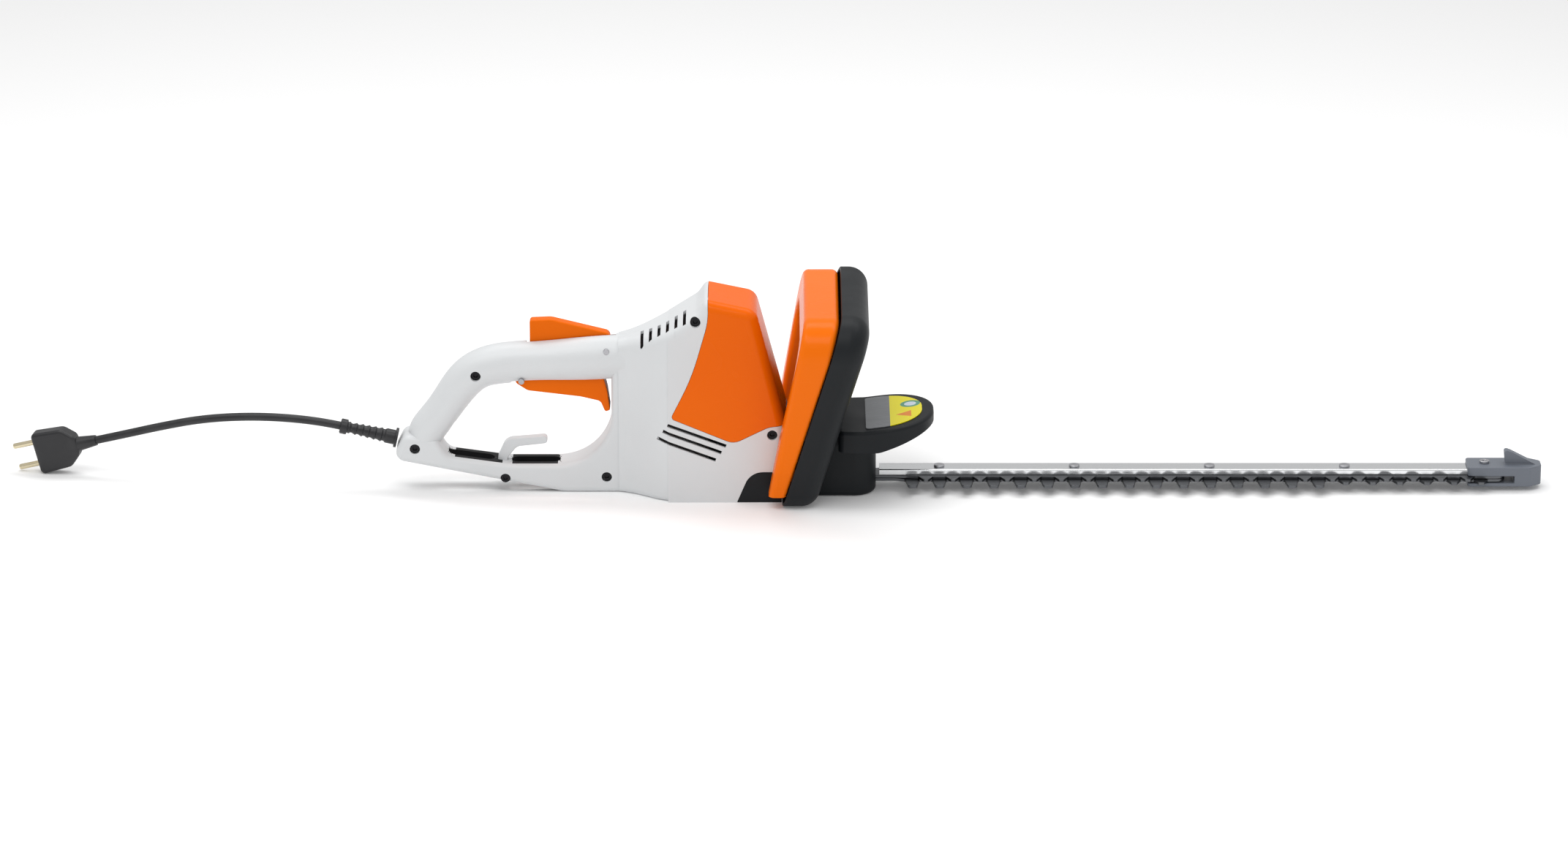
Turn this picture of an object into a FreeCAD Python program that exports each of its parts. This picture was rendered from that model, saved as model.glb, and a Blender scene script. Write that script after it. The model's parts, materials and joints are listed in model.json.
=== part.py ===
import FreeCAD, Part
import os
from math import cos, hypot, pi, radians, sin, tan

# Mains hedge trimmer with a double-acting blade, in millimetres.
# +X runs from the rear handle to the blade tip, +Z is up, the floor is z = 0.
# Everything is drawn from the datum x = 0 under the front of the motor housing,
# and is moved at the end so that the origin is under the middle of the object.

# Overall reach
rear_x = -329.6
tip_x = 644.0
body_half = 42.0
wall = 2.6
parting_gap = 0.3

# Rear handle
grip_half = 17.5
bar_half = 17.0
bar_edge = 5.0
gap_front_x = -146.0
gap_rear_x = -302.0
bar_top_z = 24.5
bar_toe_z = 30.0

# Motor housing and cover
column_x = -140.0
flare_end_x = -92.0
flare_half = 17.9
housing_front_x = 3.0
cover_rear_x = -66.0
cover_top_z = 175.5
cover_front_x = -24.0
cover_drop = 9.0
draft = 0.058
draft_from_z = 30.0
shoulder_edge = 9.0
foot_edge = 6.0

# Vents
vent_count = 6
vent_pitch = 7.2
vent_first_x = -121.0
vent_width = 2.6
vent_inner_y = 3.0
vent_outer_y = 25.5
vent_spread = 1.4
vent_low_z = 131.0
vent_rise = 3.2
side_vent_height = 3.0
side_vent_starts = ((-98.8, 66.7), (-102.7, 61.0), (-107.5, 54.5))
side_vent_run = (49.4, -18.1)

# Cord retainer
hook_half = 4.0
hook_root_x = -239.0
slot_half = 6.5
slot_spans = ((-285.0, -246.0), (-231.5, -190.0))

# Front bow and hand guard
bow_lean = radians(16.0)
bow_foot_x = -13.4
bow_rear = -22.0
bow_rear_lean = radians(10.6)
bow_rear_foot_x = -15.2
bow_front = 11.6
bow_top_z = 172.0
bow_top_half = 101.5
bow_foot_z = 12.0
bow_foot_half = 64.0
bow_band = 26.0
bow_edge = 5.0
guard_depth = 28.0
guard_skin = 3.0
guard_edge = 16.0
guard_foot_half = 62.0
guard_top_z = 174.5
guard_gap = 0.3
guard_foot_round = 18.0

# Gear case and label tongue
case_half = 28.0
case_front_x = 78.0
nose_round = 19.0
nose_edge = 4.5
case_top_z = 60.0
case_wall = 3.5
case_floor = 6.0
tub_half = 36.0
tub_rear_x = -64.0
tub_top_z = 52.0
foot_x = (-40.0, -5.0)
foot_top_z = 27.0
foot_front_x = -2.0
tongue_half = 48.0
tongue_skirt_z = 46.0
tongue_rear_x = 46.0
tongue_front_x = 127.0
tongue_z = 63.0
tongue_rise = 9.0
tongue_thick = 9.0
tongue_edge = 3.0
label_thick = 0.8
label_x = (69.0, 117.0)
label_half = 40.0

# Motor
motor_x = -50.0
stator_r = 28.0
stator_z = (80.0, 118.0)
rotor_r = 16.0
air_gap = 0.5
shaft_r = 4.0
fan_r = 30.0
fan_z = 62.0
fan_blades = 9

# Gears and crank
gear_module = 1.0
pinion_teeth = 8
wheel_teeth = 60
wheel_z = 32.0
bearing_r = 9.5
bearing_wide = 7.0
wheel_face = 9.0
mesh_play = 0.35
crank = 5.75
crank_r = 11.0
rod_thick = 4.4
rod_low_z = 18.0
rod_high_z = 24.3
running_fit = 0.05
drive_pin_r = 3.0
low_pin_x = 40.0
high_pin_x = 61.0
pin_lift = 0.3

# Blades
blade_thick = 2.4
blade_gap = 0.3
blade_low_z = 8.0
blade_root_x = 30.0
shank_half = 9.5
spine_half = 12.0
tooth_pitch = 23.0
first_tooth_x = 109.0
comb_teeth = 16
tooth_count = 22
comb_reach = 29.0
short_reach = 20.5
blade_end_x = 613.0
bolt_count = 4
bolt_first_x = 132.0
bolt_step = 115.0
bolt_r = 3.0
slot_play = 0.6
bar_root_x = 81.0
bar_thick = 4.6
bar_half_width = 9.0

# Tip guard
tip_start_x = 581.0
tip_half = 13.5
tip_low_z = 4.0
fin_height = 15.0

# Controls
trigger_half = 9.5
trigger_pivot = (-222.0, 99.0)
lock_half = 5.5
lock_y = 5.0
lock_pivot = (-150.0, 126.0)
control_play = 1.2
pin_r = 2.5
pin_fit = 0.06
switch_bar_half = 48.0
switch_bar_travel = 4.0

# Screws on the -Y side: x, z, half width of the housing there
screw_places = (
    (-74.5, 157.5, body_half - 8.6),
    (-9.9, 59.5, body_half - 2.4),
    (-313.0, 39.0, bar_half),
    (-236.5, 12.6, bar_half),
    (-150.5, 14.0, bar_half),
    (-260.6, 104.0, grip_half - 1.5),
)
screw_head_r = 4.0
screw_shank_r = 1.9
screw_sink = 1.6
boss_r = 5.8

# Mains cord, with its route chosen by hand
cord_r = 3.5
sleeve_r = 6.3
sleeve_root = (-327.5, 0.0, 43.2)
cord_route = (
    (-377.0, 0.0, 54.4),
    (-392.6, 0.0, 57.93),
    (-425.0, 5.0, 60.0),
    (-460.0, 11.0, 59.0),
    (-497.0, 17.0, 54.5),
    (-532.0, 22.5, 46.0),
    (-563.0, 27.0, 37.4),
    (-588.0, 30.5, 30.8),
)
plug_length = 34.0
plug_half = 18.5
plug_thick = 15.0
neck_length = 20.0
plug_pin_r = 2.4
plug_pin_length = 19.0
plug_pin_gap = 19.0

origin_shift = FreeCAD.Vector(-(rear_x + tip_x) / 2, 0, 0)
nodes = {}


def v(x, y, z):
    return FreeCAD.Vector(x, y, z)


# Outlines -------------------------------------------------------------------

def side_plane(y):
    return lambda a, b: v(a, y, b)


def level_plane(z):
    return lambda a, b: v(a, b, z)


def cross_plane(x):
    return lambda a, b: v(x, a, b)


def bow_plane(forward):
    # a is across, b is height above the floor along the leaning plane
    return lambda a, b: v(bow_foot_x + forward + b * sin(bow_lean), a, b * cos(bow_lean))


def corner_arc(before, corner, after, radius):
    # points of the arc that rounds one corner of an outline, in its plane
    to_before = ((before[0] - corner[0]), (before[1] - corner[1]))
    to_after = ((after[0] - corner[0]), (after[1] - corner[1]))
    length_b = hypot(*to_before)
    length_a = hypot(*to_after)
    ub = (to_before[0] / length_b, to_before[1] / length_b)
    ua = (to_after[0] / length_a, to_after[1] / length_a)
    cosine = ub[0] * ua[0] + ub[1] * ua[1]
    half_angle_tan = ((1 - cosine) / (1 + cosine)) ** 0.5
    reach = radius / half_angle_tan
    bisector = (ub[0] + ua[0], ub[1] + ua[1])
    size = hypot(*bisector)
    to_centre = (radius ** 2 + reach ** 2) ** 0.5
    bulge = (to_centre - radius) / size
    start = (corner[0] + ub[0] * reach, corner[1] + ub[1] * reach)
    middle = (corner[0] + bisector[0] * bulge, corner[1] + bisector[1] * bulge)
    end = (corner[0] + ua[0] * reach, corner[1] + ua[1] * reach)
    return start, middle, end


def outline(corners, plane):
    # closed wire through (a, b) or (a, b, radius) corners
    stops = []
    for i, corner in enumerate(corners):
        radius = corner[2] if len(corner) > 2 else 0
        if radius:
            stops.append(corner_arc(corners[i - 1], corner, corners[(i + 1) % len(corners)], radius))
        else:
            stops.append((corner[:2],))
    edges = []
    for i, stop in enumerate(stops):
        if len(stop) == 3:
            edges.append(Part.Arc(*[plane(*p) for p in stop]).toShape())
        start = plane(*stop[-1])
        end = plane(*stops[(i + 1) % len(stops)][0])
        if start.distanceToPoint(end) > 1e-6:
            edges.append(Part.LineSegment(start, end).toShape())
    return Part.Wire(edges)


def prism(corners, plane, reach):
    return Part.Face(outline(corners, plane)).extrude(reach)


def side_prism(corners, half):
    return prism(corners, side_plane(-half), v(0, 2 * half, 0))


def level_prism(corners, low, high):
    return prism(corners, level_plane(low), v(0, 0, high - low))


def mirrored_y(points):
    # the same corners on the other side, in the order that closes the outline
    return [(p[0], -p[1]) + tuple(p[2:]) for p in reversed(points)]


def box(x0, x1, y0, y1, z0, z1):
    return Part.makeBox(x1 - x0, y1 - y0, z1 - z0, v(x0, y0, z0))


def rod_z(x, y, z0, z1, radius):
    return Part.makeCylinder(radius, z1 - z0, v(x, y, z0))


def rod_y(x, z, y0, y1, radius):
    return Part.makeCylinder(radius, y1 - y0, v(x, y0, z), v(0, 1, 0))


def rod_x(y, z, x0, x1, radius):
    return Part.makeCylinder(radius, x1 - x0, v(x0, y, z), v(1, 0, 0))


def ring_z(x, y, z0, z1, outer, inner):
    return rod_z(x, y, z0, z1, outer).cut(rod_z(x, y, z0, z1, inner))


def rounded(shape, radius, chosen):
    return shape.makeFillet(radius, [e for e in shape.Edges if chosen(e)])


def keep(name, shape):
    solids = shape.Solids
    nodes[name] = solids[0] if len(solids) == 1 else Part.makeCompound(solids)


def group(name, shapes):
    keep(name, Part.makeCompound(shapes))


# White housing ----------------------------------------------------------------

def bar_corners():
    return [
        (rear_x - 3.4, bar_toe_z - 1.0, 8),
        (rear_x + 7.6, 51.0, 8),
        (gap_rear_x + 8, 46.0, 6),
        (gap_rear_x + 17, 31.5, 12),
        (-235.0, bar_top_z, 60),
        (gap_front_x, bar_top_z, 46),
        (gap_front_x, 118.0),
        (column_x + 14, 118.0),
        (column_x + 14, 0.0),
        (-187.0, 0.0, 40),
    ]


def grip_section(x, z, slope, half_height, half_width):
    # oval section across the grip's centre line, which rises at slope degrees
    angle = radians(slope)
    tall = half_height > half_width
    up = v(-sin(angle), 0, cos(angle)) * half_height
    side = v(0, half_width, 0)
    long_end, short_end = (up, side) if tall else (side, up)
    centre = v(x, 0, z)
    oval = Part.Ellipse(centre + long_end, centre + short_end, centre)
    return Part.Wire([oval.toShape()])


def grip_solid(inset):
    stations = [
        (-118.0, 118.0, 4, 20.2, 20.0),
        (-152.0, 116.2, 4, 19.6, 19.2),
        (-190.0, 113.9, 4, 18.4, 18.1),
        (-225.0, 112.0, 4, 17.5, grip_half),
        (-246.0, 109.3, 12, 17.2, grip_half),
        (-264.5, 101.2, 38, 16.4, grip_half),
        (-278.5, 85.4, 53, 15.6, grip_half),
        (-292.0, 66.0, 56, 15.0, grip_half),
        (-307.0, 43.5, 57, 14.0, bar_half - 0.7),
    ]
    return Part.makeLoft([grip_section(*s[:3], s[3] - inset, s[4] - inset) for s in stations], True)


def body_corners():
    return [
        (flare_end_x - 6.0, 0.0),
        (flare_end_x - 6.0, 148.9),
        (-73.0, 165.2, 12),
        (cover_rear_x, cover_top_z, 5),
        (cover_front_x, cover_top_z - cover_drop, 12),
        (housing_front_x, 64.0, 8),
        (housing_front_x, 0.0),
    ]


def side_y(z):
    # half width of the motor's box, which narrows upwards
    return body_half - draft * max(z - draft_from_z, 0)


def draft_wedge(side, inset):
    # what the draft takes off one side of the box
    near = body_half - inset
    corners = [(side * (near + 20), draft_from_z), (side * near, draft_from_z),
               (side * (side_y(200) - inset), 200.0), (side * (near + 20), 200.0)]
    return prism(corners, cross_plane(-150), v(200, 0, 0))


def body_section(x, half, top, edge, inset):
    # one station of the flare, which takes on the box's draft as it widens
    share = (half - flare_half) / (body_half - flare_half)
    high = half - share * (body_half - side_y(top)) - inset
    corners = [
        (-half + inset, inset, max(foot_edge - inset, 1.0)),
        (half - inset, inset, max(foot_edge - inset, 1.0)),
        (half - inset, draft_from_z),
        (high, top - inset, edge - inset),
        (-high, top - inset, edge - inset),
        (-half + inset, draft_from_z),
    ]
    return outline(corners, cross_plane(x))


def body_solid(inset):
    # the motor's box, and the flare that narrows from it to the grip
    face = Part.Face(outline(body_corners(), side_plane(-body_half + inset)))
    if inset:
        face = face.makeOffset2D(-inset, 2)
    motor_box = face.extrude(v(0, 2 * (body_half - inset), 0))
    motor_box = motor_box.cut([draft_wedge(side, inset) for side in (-1, 1)])

    def shoulder(e):
        b = e.BoundBox
        on_side = all(abs(abs(q.Y) - side_y(q.Z) + inset) < 0.01 for q in e.Vertexes)
        return on_side and b.Center.z > 66 and b.XMin > flare_end_x - 7 and b.XLength > 0.01

    motor_box = rounded(motor_box, shoulder_edge - inset, shoulder)
    stations = [
        (column_x, flare_half, 135.4, 11.0),
        (-130.0, 21.5, 137.6, 11.0),
        (-119.0, 28.5, 140.4, 10.5),
        (-107.0, 37.0, 144.5, 9.5),
        (-98.0, 41.2, 148.7, shoulder_edge),
        (flare_end_x, body_half, 152.5, shoulder_edge),
    ]
    sections = [body_section(x + (inset if i == 0 else 0), half, top, edge, inset)
                for i, (x, half, top, edge) in enumerate(stations)]
    return motor_box.fuse(Part.makeLoft(sections, True))


def cover_zone(grow):
    corners = [
        (-64.5, 230.0),
        (-63.7, 158.0, 60),
        (-77.8, 109.0, 200),
        (-95.5, 74.0, 3),
        (-42.5, 52.2, 14),
        (-13.2, 66.5, 20),
        (30.0, 71.0),
        (30.0, 230.0),
    ]
    face = Part.Face(outline(corners, side_plane(-80)))
    if grow:
        face = face.makeOffset2D(grow, 2)
    return face.extrude(v(0, 160, 0))


def foot_zone(grow):
    corners = [
        (foot_x[0] - grow, -1.0),
        (foot_x[0] + 12 - grow, foot_top_z + grow, 16),
        (foot_x[1] + 9, foot_top_z + grow),
        (foot_x[1] + 9, -1.0),
    ]
    return side_prism(corners, 60)


def screw_parts():
    screws = []
    recesses = []
    for x, z, half in screw_places:
        face = -half + screw_sink
        head = rod_y(x, z, face, face + 2.6, screw_head_r)
        socket = rod_y(x, z, face - 0.1, face + 1.6, screw_head_r * 0.45)
        shank = rod_y(x, z, face + 2.5, 7.0, screw_shank_r)
        screws.append(head.cut(socket).fuse(shank))
        recess = rod_y(x, z, -half - 3, face + 2.6 + 0.05, screw_head_r + 0.4)
        hole = rod_y(x, z, face, 7.2, screw_shank_r + 0.1)
        recesses.append(recess.fuse(hole))
    return screws, recesses


def screw_bosses():
    bosses = []
    for x, z, half in screw_places:
        bosses.append(rod_y(x, z, -half + 1.0, half - 1.0, boss_r))
    return bosses


def vents():
    cuts = []
    for i in range(vent_count):
        x = vent_first_x + i * vent_pitch
        low = vent_low_z + i * vent_rise
        cuts.append(box(x, x + vent_width, -vent_outer_y - i * vent_spread, -vent_inner_y, low, 175))
    length = hypot(*side_vent_run)
    for x, z in side_vent_starts:
        slot = box(0, length, -60, 60, 0, side_vent_height)
        fall = v(side_vent_run[0], 0, side_vent_run[1]).getAngle(v(1, 0, 0))
        tilt = FreeCAD.Rotation(v(0, 1, 0), fall * 180 / pi)
        slot.Placement = FreeCAD.Placement(v(x, 0, z), tilt)
        for side in (-1, 1):
            keep_y = box(-200, 50, min(side * 34, side * 60), max(side * 34, side * 60), 0, 120)
            cuts.append(slot.common(keep_y))
    return cuts


def make_housing():
    grip = grip_solid(0)
    bar = rounded(side_prism(bar_corners(), bar_half), bar_edge, outer_side_edge(bar_half, column_x + 10))
    body = body_solid(0)
    shell = body.fuse([grip, bar])
    hollow_bar = Part.Face(outline(bar_corners(), side_plane(-bar_half + wall))).makeOffset2D(-wall, 2)
    hollow_bar = hollow_bar.extrude(v(0, 2 * (bar_half - wall), 0))
    grip_hollow = grip_solid(wall)
    hollow = body_solid(wall).fuse([grip_hollow, hollow_bar])
    shell = shell.cut(hollow).fuse([b.common(shell.fuse(hollow)) for b in screw_bosses()])
    screws, recesses = screw_parts()
    cuts = recesses + vents() + [cover_zone(parting_gap), foot_zone(parting_gap)]
    cuts += control_slots() + [retainer_slot(*span) for span in slot_spans]
    cuts += [sleeve_hole(), hook_pocket(), case_passage()]
    shell = shell.fuse(retainer_walls()).cut(cuts)
    half = box(-500, 100, 0.05, 100, -5, 250)
    other = box(-500, 100, -100, -0.05, -5, 250)
    keep("housing_left", shell.common(half))
    keep("housing_right", shell.common(other))
    cover = body_solid(0).cut(body_solid(wall)).common(cover_zone(0))
    keep("motor_cover", cover)
    group("housing_screws", screws)


def outer_side_edge(half, before_x):
    def chosen(e):
        b = e.BoundBox
        flat = b.YLength < 0.01 and abs(abs(b.Center.y) - half) < 0.01
        return flat and b.XMax < before_x + 0.5 and b.XLength + b.ZLength > 0.5
    return chosen


def retainer_slot(x0, x1):
    r = slot_half - 0.5
    corners = [(x0, -slot_half, r), (x1, -slot_half, r), (x1, slot_half, r), (x0, slot_half, r)]
    return level_prism(corners, -5, 60)


def retainer_walls():
    # walls round the two slots, trimmed to the bar
    bar = side_prism(bar_corners(), bar_half - wall)
    walls = []
    for x0, x1 in slot_spans:
        walls.append(box(x0 - wall, x1 + wall, -slot_half - wall, slot_half + wall, 0, 45).common(bar))
    return walls


def hook_pocket():
    return box(hook_root_x - 4.2, hook_root_x + 4.2, -hook_half - 0.2, hook_half + 0.2, 15.5, 60)


def control_slots():
    side = trigger_half + control_play
    trigger = box(-231, gap_front_x + 8, -side, side, 66, 105)
    side = lock_half + control_play
    lock = box(-218, -142, lock_y - side, lock_y + side, 118, 160)
    pins = [rod_y(*trigger_pivot, -60, 60, pin_r), rod_y(*lock_pivot, -60, 60, pin_r)]
    return [trigger, lock] + pins


def case_passage():
    # opening in the housing's front wall for the gear case
    half = tub_half + parting_gap
    return box(housing_front_x - wall - 4, housing_front_x + 1, -half, half, -1, tub_top_z + parting_gap)


def sleeve_direction():
    start = v(*cord_route[0])
    return (start - v(*sleeve_root)).normalize()


def sleeve_hole():
    direction = sleeve_direction()
    start = v(*sleeve_root) - direction * 1.0
    return Part.makeCylinder(sleeve_r + 0.2, 30, start, direction)


def make_cord_hook():
    # root held between the two halves, arching forward over the bar
    corners = [
        (hook_root_x - 4.0, 16.0),
        (hook_root_x - 4.0, 28.0, 8),
        (hook_root_x + 3.0, 43.5, 10),
        (hook_root_x + 38.0, 46.5, 3),
        (hook_root_x + 38.0, 40.0, 3),
        (hook_root_x + 12.0, 37.0, 8),
        (hook_root_x + 4.0, 27.0, 6),
        (hook_root_x + 4.0, 16.0),
    ]
    keep("cord_hook", side_prism(corners, hook_half))


# Controls ---------------------------------------------------------------------

def make_trigger():
    corners = [
        (-226.5, 103.0, 3),
        (-153.0, 102.0, 3),
        (-149.5, 88.0, 3),
        (-147.2, 71.5, 1.8),
        (-151.5, 70.0, 1.8),
        (-155.5, 79.5, 5),
        (-172.0, 83.5, 30),
        (-217.0, 89.0, 8),
        (-227.5, 96.0, 4),
    ]
    x, z = trigger_pivot
    blade = rounded(side_prism(corners, trigger_half), 1.0, lambda e: face_edge(e, trigger_half, -1))
    keep("trigger", blade.cut(rod_y(x, z, -30, 30, pin_r + pin_fit)))
    keep("trigger_pin", rod_y(x, z, -16.2, 16.2, pin_r))
    group("trigger_spring", [spring_z(-166.0, 102.4, 111.0, 3.2, 0.6, 4)])


def make_lock_lever():
    corners = [
        (-215.0, 123.5, 3),
        (-215.0, 148.5, 2.5),
        (-197.0, 149.3, 16),
        (-147.5, 137.0, 5),
        (-145.5, 123.0, 2),
    ]
    x, z = lock_pivot
    lever = rounded(side_prism(corners, lock_half), 1.6, lambda e: face_edge(e, lock_half, -1))
    lever.translate(v(0, lock_y, 0))
    keep("lock_lever", lever.cut(rod_y(x, z, -30, 30, pin_r + pin_fit)))
    keep("lock_pin", rod_y(x, z, -17.8, 17.8, pin_r))
    spring = spring_z(-205.0, 114.5, 122.9, 3.2, 0.6, 4)
    spring.translate(v(0, lock_y, 0))
    group("lock_spring", [spring])


def face_edge(e, half, below_z):
    b = e.BoundBox
    return b.YLength < 0.01 and abs(abs(b.Center.y) - half) < 0.01 and (b.Center.z < below_z or below_z < 0)


def spring_z(x, z0, z1, radius, wire_r, turns):
    # one swept wire, with open turns
    pitch = (z1 - z0 - 2 * wire_r) / turns
    coil = Part.makeHelix(pitch, pitch * turns, radius)
    section = Part.Wire([Part.makeCircle(wire_r, v(radius, 0, 0), v(0, 1, 0))])
    wire = Part.Wire(coil).makePipeShell([section], True, True)
    wire.translate(v(x, 0, z0 + wire_r))
    return wire


def make_switch_group():
    body = box(-138.0, -116.0, -6.0, 6.0, 88.0, 108.0)
    plunger = rod_x(0, 98.0, -141.0, -137.9, 2.0)
    keep("main_switch", body.fuse(plunger))
    keep("capacitor", rounded(box(-112.0, -94.0, -9.0, 9.0, 100.0, 128.0), 2.0, lambda e: True))


def make_switch_bar():
    # two-hand safety bar under the crossbar of the bow
    top = bow_top_z - bow_band - 0.4
    middle = bow_foot_x + (top - 3.5) * tan(bow_lean)
    low = box(middle - 8, middle + 6, -switch_bar_half, switch_bar_half,
              top - 7, top - switch_bar_travel - 0.2)
    low = rounded(low, 1.2, lambda e: True)
    stems = []
    for y in (-switch_bar_half + 12, switch_bar_half - 12):
        stems.append(rod_z(middle - 1, y, top - 5, top + 9, 3.0))
    keep("front_switch_bar", low.fuse(stems))
    return [rod_z(middle - 1, s * (switch_bar_half - 12), top - 2, top + 9 + switch_bar_travel + 1, 3.08)
            for s in (-1, 1)]


# Front bow, guard, gear case ----------------------------------------------------

def bow_corners(top_half, foot_half, top_z, foot_z, top_edge, foot_round):
    high = top_z / cos(bow_lean)
    low = foot_z / cos(bow_lean)
    near = [(-foot_half, low, foot_round), (-top_half, high, top_edge)]
    return near + [(-p[0], p[1], p[2]) for p in reversed(near)]


def make_front_bow(stem_holes):
    reach = v(bow_front - bow_rear, 0, 0)
    plane = bow_plane(bow_rear)
    outer = prism(bow_corners(bow_top_half, bow_foot_half - 2.4, bow_top_z, 0.0, 30, 10), plane, reach)
    beside = body_half + 1.4
    near = [
        (-beside, -5.0),
        (-beside, 56 / cos(bow_lean), 20),
        (-bow_top_half + bow_band - 2, (bow_top_z - bow_band) / cos(bow_lean), 16),
    ]
    inner = prism(near + [(-p[0],) + p[1:] for p in reversed(near)], plane, reach)
    behind = [(-90.0, -10.0), (bow_rear_x(-10.0), -10.0), (bow_rear_x(200.0), 200.0), (-90.0, 200.0)]
    ring = outer.cut([inner, side_prism(behind, 130)])
    ring = rounded(ring.cut(box(-100, 100, -120, 120, -10, bow_foot_z)), bow_edge, on_bow_face)
    flanges = []
    for side in (-1, 1):
        y0, y1 = sorted((side * (tub_half + 0.4), side * (bow_foot_half - 2)))
        flanges.append(box(housing_front_x + 0.4, housing_front_x + 6.4, y0, y1, 26, 52))
    solid = ring.fuse(flanges).cut(stem_holes)
    keep("front_bow", solid)


def bow_rear_x(z):
    return bow_rear_foot_x + z * tan(bow_rear_lean)


def on_bow_face(e):
    # edges that lie in the rear or the front face of the bow, above its feet
    if e.BoundBox.ZMax < bow_foot_z + 0.1:
        return False
    on_rear = all(abs(q.X - bow_rear_x(q.Z)) < 0.01 for q in e.Vertexes)
    return on_rear or in_bow_plane(e, bow_front)


def in_bow_plane(e, forward):
    return all(abs(q.X - bow_foot_x - forward - q.Z * tan(bow_lean)) < 0.01 for q in e.Vertexes)


def make_hand_guard():
    rear = bow_front + guard_gap
    plane = bow_plane(rear)
    corners = bow_corners(bow_top_half + 1, guard_foot_half, guard_top_z, 0.0, 31, guard_foot_round)
    face = Part.Face(outline(corners, plane))
    front = rear + guard_depth

    dish = rounded(face.extrude(v(guard_depth, 0, 0)), guard_edge, lambda e: in_bow_plane(e, front))
    hollow_face = face.makeOffset2D(-guard_skin, 0)
    hollow = rounded(hollow_face.extrude(v(guard_depth - guard_skin, 0, 0)), guard_edge - guard_skin,
                     lambda e: in_bow_plane(e, front - guard_skin))
    dish = dish.cut(hollow)
    passage = level_prism(case_plan(case_half, 2 * case_front_x, -guard_gap), -5, case_top_z + guard_gap)
    keep("hand_guard", dish.cut(passage))


def case_plan(half, front, inset):
    near = [
        (tub_rear_x + inset, -tub_half + inset, 18 - inset),
        (14.0, -tub_half + inset, 5),
        (24.0, -half + inset, 5),
        (front - inset, -half + inset, nose_round - inset),
    ]
    return near + mirrored_y(near)


def make_gear_case():
    tub = level_prism(case_plan(case_half, case_front_x, 0), 0.0, tub_top_z)
    tub = tub.cut(box(tub_rear_x - 5, foot_x[0] + 4, -60, 60, -1, wall + parting_gap))
    nose = level_prism([(24.0, -case_half), (case_front_x, -case_half, nose_round),
                        (case_front_x, case_half, nose_round), (24.0, case_half)], 0.0, case_top_z)
    foot = foot_zone(0).common(box(-60, foot_front_x, -body_half + 0.4, body_half - 0.4, 0, 60))
    solid = tub.fuse([nose, foot]).removeSplitter()
    solid = rounded(solid, nose_edge, lambda e: e.BoundBox.ZMax < 0.01 and e.BoundBox.XMin > 50)
    room = level_prism(case_plan(case_half, case_front_x, case_wall), case_floor, tub_top_z - case_wall)
    exit_z = (blade_low_z - 1.0, blade_low_z + 2 * blade_thick + blade_gap + bar_thick + 1.5)
    mouth = box(60, 90, -spine_half, spine_half, *exit_z)
    solid = solid.cut([room, mouth])
    solid = solid.fuse(bearing_seat(wheel_x(), case_floor - 1, 13.2))
    solid = solid.fuse(bearing_seat(wheel_x(), 43.6, tub_top_z - case_wall + 0.5))
    pinion_hole = rod_z(motor_x, 0, 40, 60, bearing_r)
    shaft_hole = rod_z(wheel_x(), 0, case_floor - 0.1, 60, bearing_r)
    keep("gear_case", solid.cut([pinion_hole, shaft_hole]))


def wheel_x():
    # wheel and pinion stand a pitch-circle distance apart
    return motor_x + gear_module * (pinion_teeth + wheel_teeth) / 2


def bearing_seat(x, z0, z1):
    return ring_z(x, 0, z0, z1, bearing_r + 3, bearing_r)


def make_tongue():
    # a hood over the nose of the gear case, thinning out to a rounded lip
    near = [(tongue_rear_x, -tongue_half + 2, 6), (60.0, -tongue_half, 30),
            (tongue_front_x, -tongue_half, 43)]
    slab = level_prism(near + mirrored_y(near), tongue_skirt_z, case_top_z + 40)
    side = [
        (tongue_rear_x - 2, tongue_skirt_z),
        (tongue_rear_x - 2, tongue_z + 1),
        (68.0, tongue_z + 1.5, 30),
        (tongue_front_x + 2, tongue_z + tongue_rise),
        (tongue_front_x + 2, tongue_z + tongue_rise - tongue_thick),
        (case_front_x + 2, tongue_skirt_z, 20),
    ]
    tongue = slab.common(side_prism(side, tongue_half + 5))
    tongue = rounded(tongue, tongue_edge, lambda e: e.BoundBox.ZMin > tongue_z and e.BoundBox.Center.x > 70)
    passage = level_prism(case_plan(case_half, case_front_x, -guard_gap), 0, case_top_z + guard_gap)
    keep("tongue", tongue.cut(passage))
    rear, front = label_x
    label_side = [
        (rear, tongue_top(rear)),
        (front, tongue_top(front)),
        (front, tongue_top(front) + label_thick),
        (rear, tongue_top(rear) + label_thick),
    ]
    plan = [(rear, -label_half, 3), (front, -label_half, 36)]
    label = side_prism(label_side, 60).common(level_prism(plan + mirrored_y(plan), 50, 90))
    keep("label_plate", label)


def tongue_top(x):
    slope = (tongue_rise - 1.5) / (tongue_front_x + 2 - 68.0)
    return tongue_z + 1.5 + (x - 68.0) * slope + 0.02


# Drive --------------------------------------------------------------------------

def gear_outline(teeth, x, turn, thin):
    # straight-flanked teeth with rounded room at the root
    pitch_r = gear_module * teeth / 2
    tip_r = pitch_r + gear_module - 0.05
    root_r = pitch_r - 1.25 * gear_module
    step = 2 * pi / teeth
    points = []
    for i in range(teeth):
        centre = i * step + turn
        for radius, share in ((root_r, -0.36), (pitch_r, -0.25), (tip_r, -0.11),
                              (tip_r, 0.11), (pitch_r, 0.25), (root_r, 0.36)):
            angle = centre + share * step - thin / radius * (1 if share > 0 else -1)
            points.append((x + radius * cos(angle), radius * sin(angle)))
    return points


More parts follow.
